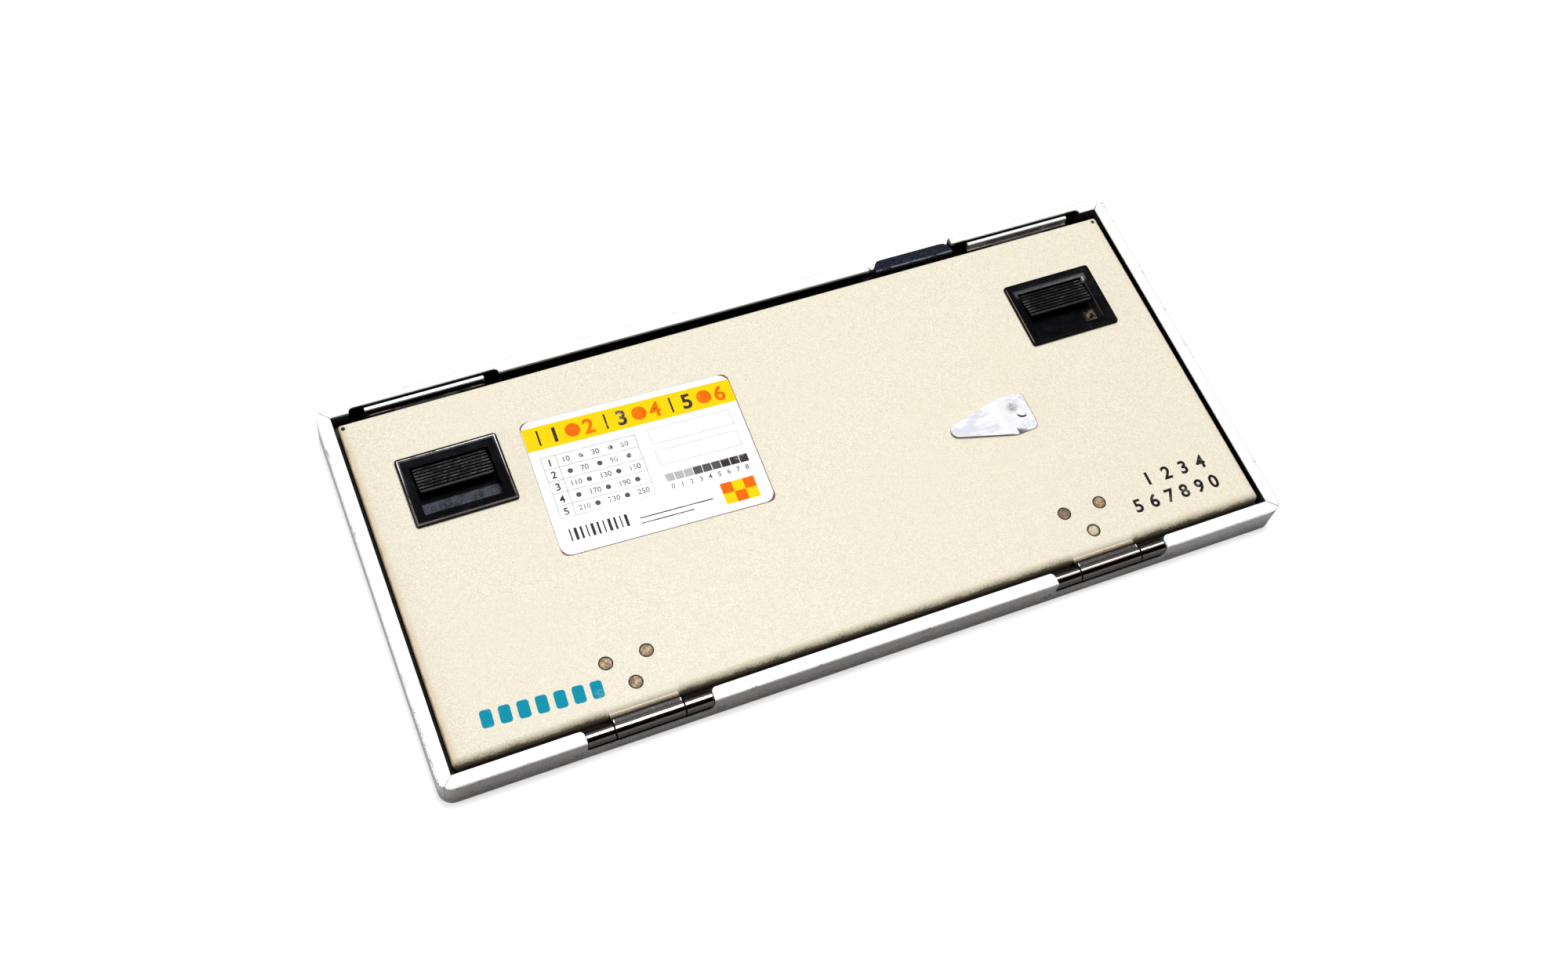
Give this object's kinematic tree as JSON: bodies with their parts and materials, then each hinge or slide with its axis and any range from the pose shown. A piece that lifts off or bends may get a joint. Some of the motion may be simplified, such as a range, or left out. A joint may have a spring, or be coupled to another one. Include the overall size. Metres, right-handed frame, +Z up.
{
  "type": "x-ray film cassette",
  "caption": "Flat light-tight x-ray film cassette with a hinged back, recessed slide latches, a mitred metal frame and a swivelling pointer.",
  "frame": {"origin": "middle of the frame's underside, where the cassette stands", "axes": "+X along the length, +Y from the hinge side to the latch side, +Z up out of the back lid"},
  "size_m": [0.33, 0.1554, 0.0132],
  "materials": {
    "rail_aluminium": "satin anodised extrusion",
    "key_aluminium": "mill finish",
    "front_panel_metal": "satin, brushed along its length",
    "screen_coat": "smooth matte screen coating",
    "black_felt": "short pile felt",
    "hinge_steel": "black nickel plate",
    "pin_steel": "ground pin",
    "lid_paint": "fine textured cream paint",
    "liner_paint": "matte black paint",
    "lead_sheet": null,
    "foam_pad": "closed cell foam",
    "rivet_bronze": "dull bronze plate",
    "housing_plastic": "glossy moulded black",
    "thumb_plastic": "fine matte black",
    "bolt_chrome": "bright chrome",
    "spring_steel": "spring steel",
    "guide_steel": "zinc plated",
    "tab_plastic": "fine grained navy",
    "label_card": "coated card with a yellow band",
    "pointer_aluminium": "bright satin"
  },
  "bodies": {
    "frame": {"rail_hinge_side": "rail_aluminium", "rail_latch_side": "rail_aluminium", "rail_left": "rail_aluminium", "rail_right": "rail_aluminium", "corner_keys": "key_aluminium", "front_panel": "front_panel_metal", "front_screen": "screen_coat", "felt_light_seal": "black_felt", "hinge_leaf_frame_left": "hinge_steel", "hinge_leaf_frame_right": "hinge_steel", "hinge_pin_left": "pin_steel", "hinge_pin_right": "pin_steel", "hinge_dowels": "pin_steel"},
    "lid": {"lid_pan": "lid_paint", "lid_liner": "liner_paint", "lead_foil": "lead_sheet", "pressure_pad": "foam_pad", "back_screen": "screen_coat", "hinge_leaf_lid_left": "hinge_steel", "hinge_leaf_lid_right": "hinge_steel", "hinge_rivets": "rivet_bronze", "latch_housing_left": "housing_plastic", "latch_housing_right": "housing_plastic", "bolt_guide_left": "guide_steel", "bolt_guide_right": "guide_steel", "detent_spring_left": "spring_steel", "detent_spring_right": "spring_steel", "lift_tab": "tab_plastic", "tab_rivets": "pin_steel", "info_label": "label_card", "pointer_rivet": "pointer_aluminium"},
    "latch_left": {"latch_thumb_left": "thumb_plastic", "latch_bolt_left": "bolt_chrome", "thumb_rivets_left": "pin_steel"},
    "latch_right": {"latch_thumb_right": "thumb_plastic", "latch_bolt_right": "bolt_chrome", "thumb_rivets_right": "pin_steel"},
    "pointer": {"swivel_pointer": "pointer_aluminium"}
  },
  "joints": [
    {"name": "lid_hinge", "type": "hinge", "parent": "frame", "child": "lid", "pos_m": [0, -0.0748, 0.0097], "axis": [1, 0, 0], "range_deg": [0, 180]},
    {"name": "latch_slide_left", "type": "slide", "parent": "lid", "child": "latch_left", "axis": [0, 1, 0], "range_m": [-0.0024, 0.0016]},
    {"name": "latch_slide_right", "type": "slide", "parent": "lid", "child": "latch_right", "axis": [0, 1, 0], "range_m": [-0.0024, 0.0016]},
    {"name": "pointer_swivel", "type": "hinge", "parent": "lid", "child": "pointer", "pos_m": [0.087, -0.0062, 0.0122], "axis": [0, 0, 1], "continuous": true}
  ]
}
